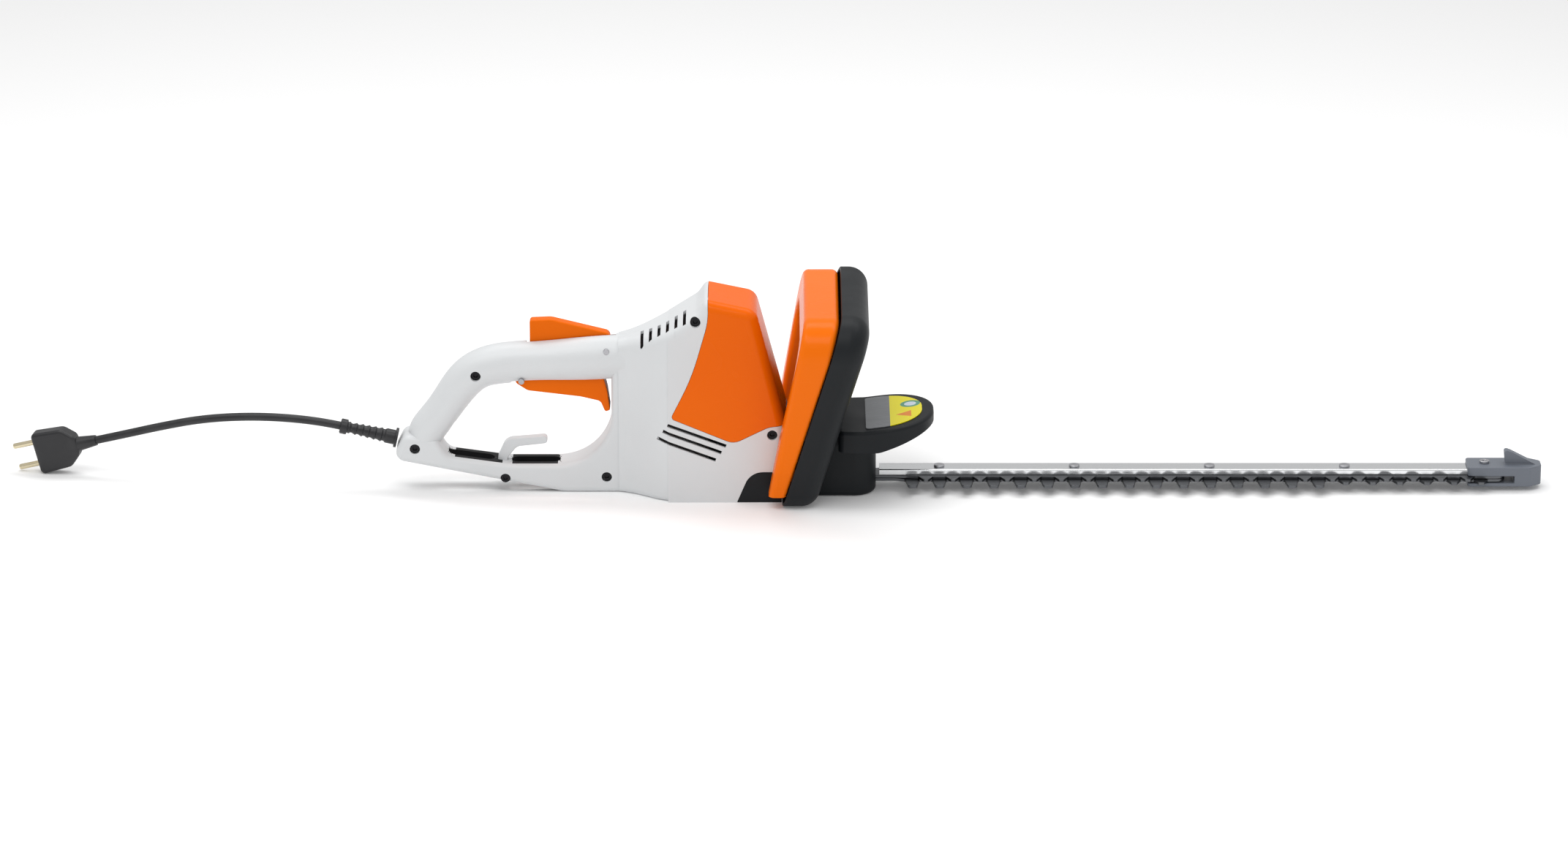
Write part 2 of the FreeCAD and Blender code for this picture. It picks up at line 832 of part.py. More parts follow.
def make_gears():
    x = wheel_x()
    rim = gear_outline(wheel_teeth, x, pi / wheel_teeth, mesh_play / 2)
    wheel = level_prism(rim, wheel_z, wheel_z + wheel_face)
    shaft_bore = rod_z(x, 0, 0, 80, 5.0)
    turns = [0.4 + i * pi / 2 for i in range(4)]
    holes = [rod_z(x + 19 * cos(a), 19 * sin(a), 20, 60, 5.5) for a in turns]
    keep("gear_wheel", wheel.cut([shaft_bore] + holes))
    shaft = rod_z(x, 0, 6.1, 51.0, 4.0).fuse(rod_z(x, 0, 28.9, wheel_z + wheel_face + 2.2, 5.0))
    low = rod_z(x, -crank, rod_low_z - 0.3, rod_low_z + rod_thick + 0.1, crank_r)
    high = rod_z(x, crank, rod_high_z - 0.3, rod_high_z + rod_thick + 0.1, crank_r)
    middle = rod_z(x, 0, 13.0, rod_high_z + rod_thick + 0.3, 5.2)
    flange = rod_z(x, 0, rod_high_z + rod_thick + 0.1, wheel_z, 9.0)
    keep("crank_shaft", shaft.fuse([low, high, middle, flange]))
    pinion_rim = gear_outline(pinion_teeth, motor_x, 0.0, mesh_play / 2)
    pinion = level_prism(pinion_rim, wheel_z - 1, wheel_z + wheel_face + 1)
    lower = rod_z(motor_x, 0, wheel_z - 1, 53.0, 2.6)
    keep("motor_shaft", pinion.fuse([lower, rod_z(motor_x, 0, 52.0, 152.0, shaft_r)]))


def con_rod(z, crank_y, pin_x):
    x = wheel_x()
    length = hypot(pin_x - x, crank_y)
    eye = rod_z(0, 0, z, z + rod_thick, crank_r + 4.5)
    small = rod_z(length, 0, z, z + rod_thick, 6.0)
    arm = box(crank_r, length, -4.0, 4.0, z, z + rod_thick)
    rod = eye.fuse([small, arm]).cut(rod_z(0, 0, z - 1, z + rod_thick + 1, crank_r + running_fit))
    aim = FreeCAD.Rotation(v(1, 0, 0), v(pin_x - x, -crank_y, 0))
    rod.Placement = FreeCAD.Placement(v(x, crank_y, 0), aim)
    return rod


def make_con_rods():
    low = con_rod(rod_low_z, -crank, low_pin_x)
    upper_top = blade_low_z + 2 * blade_thick + blade_gap
    low = low.fuse(rod_z(low_pin_x, 0, upper_top + pin_lift, rod_low_z + 0.5, drive_pin_r))
    keep("con_rod_low", low)
    high = con_rod(rod_high_z, crank, high_pin_x)
    stud_top = rod_low_z - 1.0
    high = high.fuse(rod_z(high_pin_x, 0, stud_top + pin_lift, rod_high_z + 0.5, drive_pin_r))
    keep("con_rod_high", high)


def bearing(x, z, bore_r):
    inner = ring_z(x, 0, z, z + bearing_wide, bore_r + 1.6, bore_r)
    outer = ring_z(x, 0, z, z + bearing_wide, bearing_r, bearing_r - 1.6)
    track = (bore_r + 1.6 + bearing_r - 1.6) / 2
    ball_r = (bearing_r - bore_r - 3.2) / 2 - 0.02
    balls = []
    for i in range(8):
        a = 2 * pi * i / 8
        balls.append(Part.makeSphere(ball_r, v(x + track * cos(a), track * sin(a), z + bearing_wide / 2)))
    return [inner, outer] + balls


def make_motor():
    z0, z1 = stator_z
    flat = box(motor_x - stator_r, motor_x + stator_r, -25, 25, z0, z1)
    ring = rod_z(motor_x, 0, z0, z1, stator_r).common(flat)
    bore = rod_z(motor_x, 0, z0 - 1, z1 + 1, rotor_r + air_gap)
    slots = [rod_z(motor_x, s * (rotor_r + 2.4), z0 - 1, z1 + 1, 5.0) for s in (-1, 1)]
    keep("stator", ring.cut([bore] + slots))
    coils = []
    for s in (-1, 1):
        for low, high in ((z0 - 8, z0 - 0.2), (z1 + 0.2, z1 + 5)):
            arc = ring_z(motor_x, 0, low, high, 25.0, rotor_r + 2.5)
            half = box(motor_x - 12, motor_x + 12, min(s * 6, s * 30), max(s * 6, s * 30), low, high)
            coils.append(arc.common(half))
    group("field_coils", coils)
    core = ring_z(motor_x, 0, z0, z1, rotor_r, shaft_r)
    slits = []
    for i in range(12):
        slit = box(rotor_r - 6, rotor_r + 1, -0.8, 0.8, z0 - 1, z1 + 1)
        slit.Placement = FreeCAD.Placement(v(motor_x, 0, 0), FreeCAD.Rotation(v(0, 0, 1), i * 30))
        slits.append(slit)
    keep("rotor_core", core.cut(slits))
    spans = ((z0 - 6, z0), (z1, z1 + 5))
    ends = [ring_z(motor_x, 0, low, high, rotor_r - 3, shaft_r) for low, high in spans]
    group("rotor_windings", ends)
    keep("commutator", ring_z(motor_x, 0, z1 + 5.5, z1 + 18, 9.5, shaft_r))
    make_fan()
    group("motor_bearings", bearing(motor_x, 44.6, 2.6) + bearing(motor_x, z1 + 25, shaft_r))
    group("wheel_bearings", bearing(wheel_x(), 6.0, 4.0) + bearing(wheel_x(), 43.9, 4.0))
    reach = side_y(z1 + 32) - wall - 0.4
    corners = [(motor_x - 30, -reach, 6), (motor_x + 22, -reach, 6)]
    plate = level_prism(corners + mirrored_y(corners), z1 + 20, z1 + 32)
    seat = rod_z(motor_x, 0, z1 + 19, z1 + 33, bearing_r)
    steps = [box(-200, 100, 14, 60, 0, z1 + 28), box(-200, 100, -60, -14, 0, z1 + 28)]
    keep("motor_bracket", plate.cut([seat] + steps))
    brushes = []
    holders = []
    for s in (-1, 1):
        y0, y1 = sorted((s * 9.7, s * 20))
        brushes.append(box(motor_x - 3, motor_x + 3, y0, y1, z1 + 8, z1 + 15))
        y0, y1 = sorted((s * 13, s * 27))
        tube = box(motor_x - 5, motor_x + 5, y0, y1, z1 + 6, z1 + 17)
        holders.append(tube.cut(box(motor_x - 3.1, motor_x + 3.1, y0 - 5, y1 + 5, z1 + 7.9, z1 + 15.1)))
    group("carbon_brushes", brushes)
    group("brush_holders", holders)


def make_fan():
    hub = ring_z(motor_x, 0, fan_z, fan_z + 8, 9.0, shaft_r)
    disc = ring_z(motor_x, 0, fan_z, fan_z + 1.6, fan_r, 8.0)
    blades = []
    for i in range(fan_blades):
        blade = box(8.5, fan_r - 0.4, -0.8, 0.8, fan_z + 1.4, fan_z + 8)
        turn = FreeCAD.Rotation(v(0, 0, 1), i * 360 / fan_blades)
        blade.Placement = FreeCAD.Placement(v(motor_x, 0, 0), turn)
        blades.append(blade)
    keep("fan", hub.fuse([disc] + blades))


# Blades ---------------------------------------------------------------------------

def blade_side(reach_of, tip_of, root_of, offset, count):
    # corners along the near edge, tooth by tooth, from the root end forwards
    corners = []
    for i in range(count):
        x = first_tooth_x + offset + i * tooth_pitch
        reach = reach_of(i)
        root = root_of(i)
        tip = tip_of(i)
        corners.append((x - root, -spine_half, 2.0))
        corners.append((x - tip, -reach, tip * 0.85))
        corners.append((x + tip, -reach, tip * 0.85))
        corners.append((x + root, -spine_half, 2.0))
    return corners


def blade_plan(teeth):
    near = [(blade_root_x, -shank_half, 3), (first_tooth_x - 14, -shank_half)] + teeth
    near.append((blade_end_x, -spine_half, 8))
    return near + mirrored_y(near)


def bolt_xs():
    return [bolt_first_x + i * bolt_step for i in range(bolt_count)]


def long_slot(x, half_length, radius, z0, z1):
    corners = [(x - half_length, -radius, radius * 0.98), (x + half_length, -radius, radius * 0.98),
               (x + half_length, radius, radius * 0.98), (x - half_length, radius, radius * 0.98)]
    return level_prism(corners, z0, z1)


def make_blades():
    slots = [long_slot(x, bolt_r + crank + slot_play, bolt_r + 0.2, 0, 30) for x in bolt_xs()]
    comb = blade_side(
        lambda i: comb_reach if i < comb_teeth else short_reach,
        lambda i: 3.6 if i < comb_teeth else 2.2,
        lambda i: 6.0,
        0.0, tooth_count)
    low = level_prism(blade_plan(comb), blade_low_z, blade_low_z + blade_thick)
    stud = rod_z(high_pin_x, 0, blade_low_z + blade_thick - 0.2, rod_low_z - 1.0, drive_pin_r)
    keep("lower_blade", low.cut(slots).fuse(stud))
    cutter = blade_side(lambda i: short_reach, lambda i: 2.0, lambda i: 6.2,
                        tooth_pitch / 2, tooth_count - 1)
    z0 = blade_low_z + blade_thick + blade_gap
    high = level_prism(blade_plan(cutter), z0, z0 + blade_thick)
    pin_hole = rod_z(low_pin_x, 0, 0, 30, drive_pin_r + 0.2)
    stud_slot = long_slot(high_pin_x, drive_pin_r + 2 * crank + slot_play, drive_pin_r + 0.3, 0, 30)
    keep("upper_blade", high.cut(slots + [pin_hole, stud_slot]))


def bar_z():
    return blade_low_z + 2 * (blade_thick + blade_gap)


def make_guide_bar():
    z0 = bar_z()
    near = [(bar_root_x, -bar_half_width), (blade_end_x - 8, -bar_half_width)]
    bar = level_prism(near + mirrored_y(near), z0, z0 + bar_thick)
    bar = rounded(bar, 1.2, lambda e: e.BoundBox.XLength > 100 and e.BoundBox.Center.z > z0 + 1)
    holes = [rod_z(x, 0, 0, 40, bolt_r + 0.05) for x in bolt_xs()]
    keep("guide_bar", bar.cut(holes))
    screws = []
    for x in bolt_xs():
        head = rod_z(x, 0, blade_low_z - 3.6, blade_low_z - 0.4, 5.6)
        socket = rod_z(x, 0, blade_low_z - 4.0, blade_low_z - 2.0, 2.2)
        shank = rod_z(x, 0, blade_low_z - 1.0, z0 + bar_thick + 0.8, bolt_r)
        nut = rod_z(x, 0, z0 + bar_thick + 0.02, z0 + bar_thick + 1.6, 4.6)
        screws.append(head.cut(socket).fuse([shank, nut]))
    group("blade_bolts", screws)


def make_tip_guard():
    z0 = bar_z()
    top = z0 + bar_thick
    near = [(tip_start_x, -tip_half, 3), (tip_x - 10, -tip_half, 5), (tip_x, -6.5, 4)]
    plan = near + mirrored_y(near)
    block = level_prism(plan, tip_low_z, top + 3.0)
    low_room = box(tip_start_x - 5, blade_end_x + crank + 2, -tip_half - 2, tip_half + 2,
                   blade_low_z - 0.9, z0 - 0.1)
    side = bar_half_width + 0.05
    bar_room = box(tip_start_x - 5, blade_end_x - 7.6, -side, side, z0 - 0.2, top + 0.02)
    fin_side = [
        (614.0, top), (612.0, top + fin_height + 1, 2), (618.0, top + fin_height - 1, 8),
        (tip_x - 3, top + 2.0, 3), (tip_x - 3, top),
    ]
    fin = side_prism(fin_side, 4.0)
    screw_x = 596.0
    tip = block.fuse(fin).cut([low_room, bar_room, rod_z(screw_x, 0, top - 1, top + 10, 2.2)])
    keep("tip_guard", tip)
    head = rod_z(screw_x, 0, top + 3.05, top + 5.2, 4.2).cut(rod_z(screw_x, 0, top + 4.0, top + 6, 1.8))
    keep("tip_screw", head.fuse(rod_z(screw_x, 0, top + 0.1, top + 3.2, 2.1)))


# Cord -----------------------------------------------------------------------------

def cord_path():
    # straight runs joined by arcs as large as their runs allow
    points = [v(*p) for p in cord_route]
    edges = []
    radii = []
    last = points[0]
    for before, corner, after in zip(points, points[1:], points[2:]):
        back = before - corner
        ahead = after - corner
        shorter = min(back.Length, ahead.Length)
        turn = pi - back.getAngle(ahead)
        reach = 0.45 * shorter
        radii.append(reach / tan(turn / 2))
        ub = FreeCAD.Vector(back).normalize()
        ua = FreeCAD.Vector(ahead).normalize()
        start = corner + ub * reach
        end = corner + ua * reach
        to_centre = (ub + ua).normalize()
        middle = corner + to_centre * (hypot(reach, radii[-1]) - radii[-1])
        edges.append(Part.LineSegment(last, start).toShape())
        edges.append(Part.Arc(start, middle, end).toShape())
        last = end
    edges.append(Part.LineSegment(last, points[-1]).toShape())
    print("cord arc radii:", [round(r) for r in radii])
    return Part.Wire(edges)


def make_cord():
    path = cord_path()
    start = v(*cord_route[0])
    heading = (v(*cord_route[1]) - start).normalize()
    section = Part.Wire([Part.makeCircle(cord_r, start, heading)])
    tube = path.makePipeShell([section], True, False)
    expected = pi * cord_r ** 2 * path.Length
    print("cord length", round(path.Length, 1), "volume ratio", round(tube.Volume / expected, 4))
    keep("mains_cord", tube)


def turned(profile, start, heading):
    # a body of revolution along a line: profile is (distance, radius) pairs
    points = [v(0, 0, profile[0][0])] + [v(r, 0, d) for d, r in profile] + [v(0, 0, profile[-1][0])]
    face = Part.Face(Part.makePolygon(points + [points[0]]))
    solid = face.revolve(v(0, 0, 0), v(0, 0, 1), 360)
    solid.Placement = FreeCAD.Placement(start, FreeCAD.Rotation(v(0, 0, 1), heading))
    return solid


def make_strain_relief():
    start = v(*sleeve_root)
    direction = sleeve_direction()
    length = (v(*cord_route[0]) - start).Length
    profile = [(1.0, sleeve_r + 2.2), (3.4, sleeve_r + 2.2), (3.4, sleeve_r)]
    profile += [(11.0, sleeve_r)]
    ribs = 6
    pitch = (length - 18.0) / ribs
    for i in range(ribs):
        d = 11.0 + i * pitch
        r = sleeve_r - i * 0.22
        profile += [(d + pitch * 0.3, r - 1.2), (d + pitch * 0.55, r - 1.2), (d + pitch * 0.75, r - 0.1)]
    profile += [(length - 6.5, sleeve_r - 1.5), (length - 6.0, sleeve_r + 0.2),
                (length - 0.6, sleeve_r + 0.2), (length, sleeve_r - 1.0)]
    keep("strain_relief", turned(profile, start, direction))


def plug_heading():
    return (v(*cord_route[-1]) - v(*cord_route[-2])).normalize()


def make_plug():
    # flat plug standing on its edge: w runs up it, and t through its thickness
    start = v(*cord_route[-1])
    heading = plug_heading()
    t = heading.cross(v(0, 0, 1)).normalize()
    w = t.cross(heading).normalize()

    def plane(a, b):
        return start + heading * a + w * b - t * (plug_thick / 2)

    profile = [
        (neck_length - 4, -8.0, 6),
        (neck_length + 6, -plug_half + 1.5, 8),
        (neck_length + plug_length, -plug_half, 4),
    ]
    corners = profile + [(p[0], -p[1], p[2]) for p in reversed(profile)]
    body = prism(corners, plane, t * plug_thick)
    body = rounded(body, 3.0, lambda e: abs((e.CenterOfMass - start).dot(t)) > plug_thick / 2 - 0.01)
    neck = turned([(0.0, cord_r + 1.0), (neck_length + 4, 7.2)], start, heading)
    keep("plug_body", body.fuse(neck))
    pins = []
    for s in (-1, 1):
        foot = start + heading * (neck_length + plug_length + 0.02) + w * (s * plug_pin_gap / 2)
        pin = Part.makeCylinder(plug_pin_r, plug_pin_length, foot, heading)
        pins.append(rounded(pin, 1.4, lambda e: (e.CenterOfMass - foot).dot(heading) > plug_pin_length - 1))
    group("plug_pins", pins)


def make_cord_clamp():
    x, z = -306.0, 38.0
    clamp = box(x, x + 10, -9, 9, z + 3.6, z + 7.6)
    keep("cord_clamp", clamp)


make_housing()
make_cord_hook()
make_trigger()
make_lock_lever()
make_switch_group()
make_front_bow(make_switch_bar())
make_hand_guard()
make_gear_case()
make_tongue()
make_gears()
make_con_rods()
make_motor()
make_blades()
make_guide_bar()
make_tip_guard()
make_cord()
make_strain_relief()
make_plug()
make_cord_clamp()

os.makedirs("parts", exist_ok=True)
for name, shape in nodes.items():
    shape.translate(origin_shift)
    shape.exportStep("parts/" + name + ".step")
    print(name, shape.isValid(), len(shape.Solids), round(shape.Volume / 1000, 2))
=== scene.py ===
import bpy
import bmesh
import json
from math import cos, pi, radians, sin, tan
from mathutils import Matrix, Vector

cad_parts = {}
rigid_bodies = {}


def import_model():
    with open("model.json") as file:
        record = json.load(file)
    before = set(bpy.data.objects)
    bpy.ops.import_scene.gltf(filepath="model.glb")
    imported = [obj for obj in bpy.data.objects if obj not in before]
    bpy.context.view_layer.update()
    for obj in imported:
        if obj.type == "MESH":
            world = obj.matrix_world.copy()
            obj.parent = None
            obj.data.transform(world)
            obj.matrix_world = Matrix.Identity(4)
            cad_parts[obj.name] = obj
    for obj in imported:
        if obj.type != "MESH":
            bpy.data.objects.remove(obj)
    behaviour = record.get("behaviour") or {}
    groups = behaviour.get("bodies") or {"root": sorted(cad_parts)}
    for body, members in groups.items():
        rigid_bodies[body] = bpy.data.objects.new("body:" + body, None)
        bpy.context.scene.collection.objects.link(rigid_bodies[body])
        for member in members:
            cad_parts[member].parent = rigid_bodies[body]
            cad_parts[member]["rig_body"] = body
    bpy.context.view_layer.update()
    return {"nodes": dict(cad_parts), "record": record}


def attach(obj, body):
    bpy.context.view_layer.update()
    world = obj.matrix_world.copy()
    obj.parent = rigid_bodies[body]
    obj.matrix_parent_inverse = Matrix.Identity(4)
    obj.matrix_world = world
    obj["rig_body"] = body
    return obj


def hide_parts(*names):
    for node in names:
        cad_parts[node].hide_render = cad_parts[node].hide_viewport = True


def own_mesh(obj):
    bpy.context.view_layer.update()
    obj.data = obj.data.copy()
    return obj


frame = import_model()
nodeOf = frame["nodes"]
mm = 0.001


# Camera, light and floor --------------------------------------------------

view = {
    "target": (-0.1572, 0.0, 0.0572),
    "elevation": 19.0,
    "lens": 150.0,
    "distance": 5.549,
    "floorTone": (0.93, 0.93, 0.93),
    "floorGlow": 0.07,
}


def makeCamera():
    lean = radians(view["elevation"])
    camera = bpy.data.objects.new("camera", bpy.data.cameras.new("camera"))
    camera.data.lens = view["lens"]
    camera.data.clip_end = 50
    back = Vector((0, -cos(lean), sin(lean))) * view["distance"]
    camera.location = Vector(view["target"]) + back
    camera.rotation_euler = (pi / 2 - lean, 0, 0)
    bpy.context.scene.collection.objects.link(camera)
    bpy.context.scene.camera = camera


def makeLamp(name, place, aim, size, power, tone=(1, 1, 1)):
    lamp = bpy.data.lights.new(name, "AREA")
    lamp.energy = power
    lamp.shape = "RECTANGLE"
    lamp.size, lamp.size_y = size
    lamp.color = tone
    holder = bpy.data.objects.new(name, lamp)
    holder.location = place
    holder.rotation_euler = (Vector(aim) - Vector(place)).to_track_quat("-Z", "Y").to_euler()
    bpy.context.scene.collection.objects.link(holder)


def makeStudio():
    world = bpy.data.worlds.new("studio")
    bpy.context.scene.world = world
    world.use_nodes = True
    world.node_tree.nodes["Background"].inputs["Color"].default_value = (1, 1, 1, 1)
    world.node_tree.nodes["Background"].inputs["Strength"].default_value = 0.62
    makeLamp("keyLamp", (-0.7, -0.9, 1.9), (-0.1, 0, 0.05), (2.2, 0.7), 15)
    makeLamp("topLamp", (0.1, 0.55, 1.7), (0.0, 0, 0.05), (2.6, 0.6), 17)
    bpy.context.scene.view_settings.view_transform = "Standard"
    bm = bmesh.new()
    bmesh.ops.create_grid(bm, x_segments=1, y_segments=1, size=8)
    floor = newPiece("floor", bm, None, smooth=False)
    paint = Finish("floorPaper", view["floorTone"], 0.9, specular_ior_level=0.1)
    paint.set("Emission Color", (1, 1, 1, 1))
    paint.set("Emission Strength", view["floorGlow"])
    floor.data.materials.append(paint.material)


# Shader maths --------------------------------------------------------------

class Wire:
    # one shader socket, or a number, that sums can be written with
    def __init__(self, finish, socket):
        self.finish = finish
        self.socket = socket

    def sum(self, operation, first, second=None):
        return self.finish.node("ShaderNodeMath", {"operation": operation}, {0: first, 1: second})

    def __add__(self, other):
        return self.sum("ADD", self, other)

    def __radd__(self, other):
        return self.sum("ADD", other, self)

    def __sub__(self, other):
        return self.sum("SUBTRACT", self, other)

    def __rsub__(self, other):
        return self.sum("SUBTRACT", other, self)

    def __mul__(self, other):
        return self.sum("MULTIPLY", self, other)

    def __rmul__(self, other):
        return self.sum("MULTIPLY", other, self)

    def __truediv__(self, other):
        return self.sum("DIVIDE", self, other)

    def __gt__(self, other):
        return self.sum("GREATER_THAN", self, other)

    def __lt__(self, other):
        return self.sum("LESS_THAN", self, other)

    def __pow__(self, other):
        return self.sum("POWER", self, other)

    def absolute(self):
        return self.sum("ABSOLUTE", self)

    def clamped(self):
        return self.finish.node("ShaderNodeClamp", {}, {"Value": self})


class Finish:
    # one material, built around its principled shader
    def __init__(self, name, colour, roughness, metal=0.0, **fixed):
        self.material = bpy.data.materials.new(name)
        self.material.use_nodes = True
        self.material.diffuse_color = tuple(colour) + (1,)
        self.tree = self.material.node_tree
        self.shader = self.tree.nodes["Principled BSDF"]
        self.set("Base Color", tuple(colour) + (1,))
        self.set("Roughness", roughness)
        self.set("Metallic", metal)
        for name, value in fixed.items():
            self.set(name.replace("_", " ").title().replace("Ior", "IOR"), value)

    def set(self, socket, value):
        self.feed(self.shader.inputs[socket], value)

    def feed(self, socket, value):
        if isinstance(value, Wire):
            self.tree.links.new(value.socket, socket)
        elif value is not None:
            socket.default_value = value

    def node(self, kind, settings, sockets, output=0):
        made = self.tree.nodes.new(kind)
        for key, value in settings.items():
            if key == "stops":
                for stop, (place, colour) in zip(self.stopsOf(made, len(value)), value):
                    stop.position = place
                    stop.color = colour
            else:
                setattr(made, key, value)
        for key, value in sockets.items():
            self.feed(made.inputs[key], value)
        return Wire(self, made.outputs[output])

    def stopsOf(self, ramp, count):
        elements = ramp.color_ramp.elements
        while len(elements) < count:
            elements.new(0.5)
        return elements

    def place(self):
        return self.node("ShaderNodeTexCoord", {}, {}, "Object")

    def axis(self, letter):
        return self.node("ShaderNodeSeparateXYZ", {}, {"Vector": self.place()}, letter)

    def noise(self, scale, detail=2.0, stretch=None, roughness=0.5):
        where = self.place()
        if stretch:
            where = self.node("ShaderNodeMapping", {}, {"Vector": where, "Scale": stretch})
        return self.node("ShaderNodeTexNoise", {}, {
            "Vector": where, "Scale": scale, "Detail": detail, "Roughness": roughness})

    def mix(self, factor, first, second):
        made = self.tree.nodes.new("ShaderNodeMix")
        made.data_type = "RGBA"
        self.feed(made.inputs["Factor"], factor)
        for socket, value in ((made.inputs[6], first), (made.inputs[7], second)):
            self.feed(socket, tuple(value) + (1,) if isinstance(value, tuple) and len(value) == 3 else value)
        return Wire(self, made.outputs[2])

    def bump(self, height, depth, strength=1.0, under=None):
        made = {"Height": height, "Distance": depth, "Strength": strength}
        if under:
            made["Normal"] = under
        return self.node("ShaderNodeBump", {}, made)


# Finishes -------------------------------------------------------------------

def grainedPlastic(name, colour, shade, roughness, grain=0.00006, **fixed):
    # moulded plastic: fine spark-eroded grain, faint flow patches, a little handling shine
    finish = Finish(name, colour, roughness, **fixed)
    flow = finish.noise(9.0, 3.0)
    finish.set("Base Color", finish.mix((flow - 0.5) * 1.4 + 0.35, colour, shade))
    wear = finish.noise(26.0, 4.0)
    finish.set("Roughness", roughness + (wear - 0.5) * 0.22)
    fine = finish.noise(1700.0, 2.0)
    coarse = finish.noise(60.0, 2.0)
    finish.set("Normal", finish.bump(fine + coarse * 0.6, grain, 0.6))
    return finish.material


def glossPlastic(name, colour, shade, roughness=0.2):
    # high-gloss moulding: deep colour, soft sink marks and hair-fine scratches
    finish = Finish(name, colour, roughness, specular_ior_level=0.08, coat_weight=0.05, coat_roughness=0.1)
    flow = finish.noise(7.0, 2.0)
    finish.set("Base Color", finish.mix((flow - 0.5) * 1.2 + 0.4, colour, shade))
    scuffs = finish.noise(900.0, 3.0, stretch=(0.06, 1.0, 1.0))
    finish.set("Roughness", roughness + (scuffs > 0.66) * 0.12 + (finish.noise(18.0) - 0.5) * 0.1)
    sink = finish.noise(22.0, 1.0)
    finish.set("Normal", finish.bump(sink + scuffs * 0.02, 0.00025, 0.35))
    return finish.material


def groundSteel(name, colour, shade, roughness, along=(0.02, 1.0, 1.0)):
    # rolled and ground steel: long streaks along the blade, dull patches of handling
    finish = Finish(name, colour, roughness, metal=1.0)
    streaks = finish.noise(1400.0, 3.0, stretch=along)
    patches = finish.noise(14.0, 4.0)
    finish.set("Base Color", finish.mix((streaks * 0.5 + patches * 0.7) - 0.25, colour, shade))
    finish.set("Roughness", roughness + (streaks - 0.5) * 0.3 + (patches - 0.5) * 0.15)
    finish.set("Normal", finish.bump(streaks, 0.00004, 0.5))
    return finish.material


def cordRubber(name, colour, roughness):
    # soft cable sheath: faint extrusion lines and dust in them
    finish = Finish(name, colour, roughness)
    dust = finish.noise(40.0, 4.0)
    finish.set("Base Color", finish.mix((dust - 0.45) * 1.2, colour, (0.05, 0.05, 0.052)))
    finish.set("Roughness", roughness + (dust - 0.5) * 0.3)
    finish.set("Normal", finish.bump(finish.noise(1200.0, 2.0), 0.00005, 0.5))
    return finish.material


def printedLabel(name, values):
    # a foil label: brushed grey half, yellow half with a round sign and a small triangle
    finish = Finish(name, values["grey"], 0.34, specular_ior_level=0.15, coat_weight=0.1, coat_roughness=0.1)
    across = finish.axis("Y")
    along = finish.axis("X")
    yellow = along > values["splitX"]
    signX, signY = values["sign"]
    ring = (along - signX) ** 2 + (across - signY) ** 2
    disc = ring < values["signRadius"] ** 2
    inside = ring < (values["signRadius"] * 0.6) ** 2
    warnX, warnY = values["warning"]
    leg = (across - warnY).absolute() * 1.7 + (warnX - along)
    triangle = (leg < values["warningSize"]) * (along < warnX + values["warningSize"])
    lines = finish.noise(300.0, 2.0, stretch=(0.05, 1.0, 1.0))
    base = finish.mix(lines, values["grey"], values["greyDark"])
    base = finish.mix(yellow, base, values["yellow"])
    base = finish.mix(disc, base, values["signRim"])
    base = finish.mix(inside, base, values["signFace"])
    base = finish.mix(triangle * yellow * (1 - disc), base, values["warningTone"])
    finish.set("Base Color", base)
    finish.set("Roughness", 0.3 + (finish.noise(50.0) - 0.5) * 0.2)
    return finish.material


labelPrint = {
    "grey": (0.22, 0.23, 0.24),
    "greyDark": (0.15, 0.155, 0.165),
    "yellow": (0.86, 0.76, 0.004),
    "splitX": -0.0675,
    "sign": (-0.0500, 0.0120),
    "signRadius": 0.0085,
    "signRim": (0.10, 0.32, 0.20),
    "signFace": (0.62, 0.70, 0.78),
    "warning": (-0.0560, -0.0130),
    "warningSize": 0.0065,
    "warningTone": (0.80, 0.25, 0.02),
}


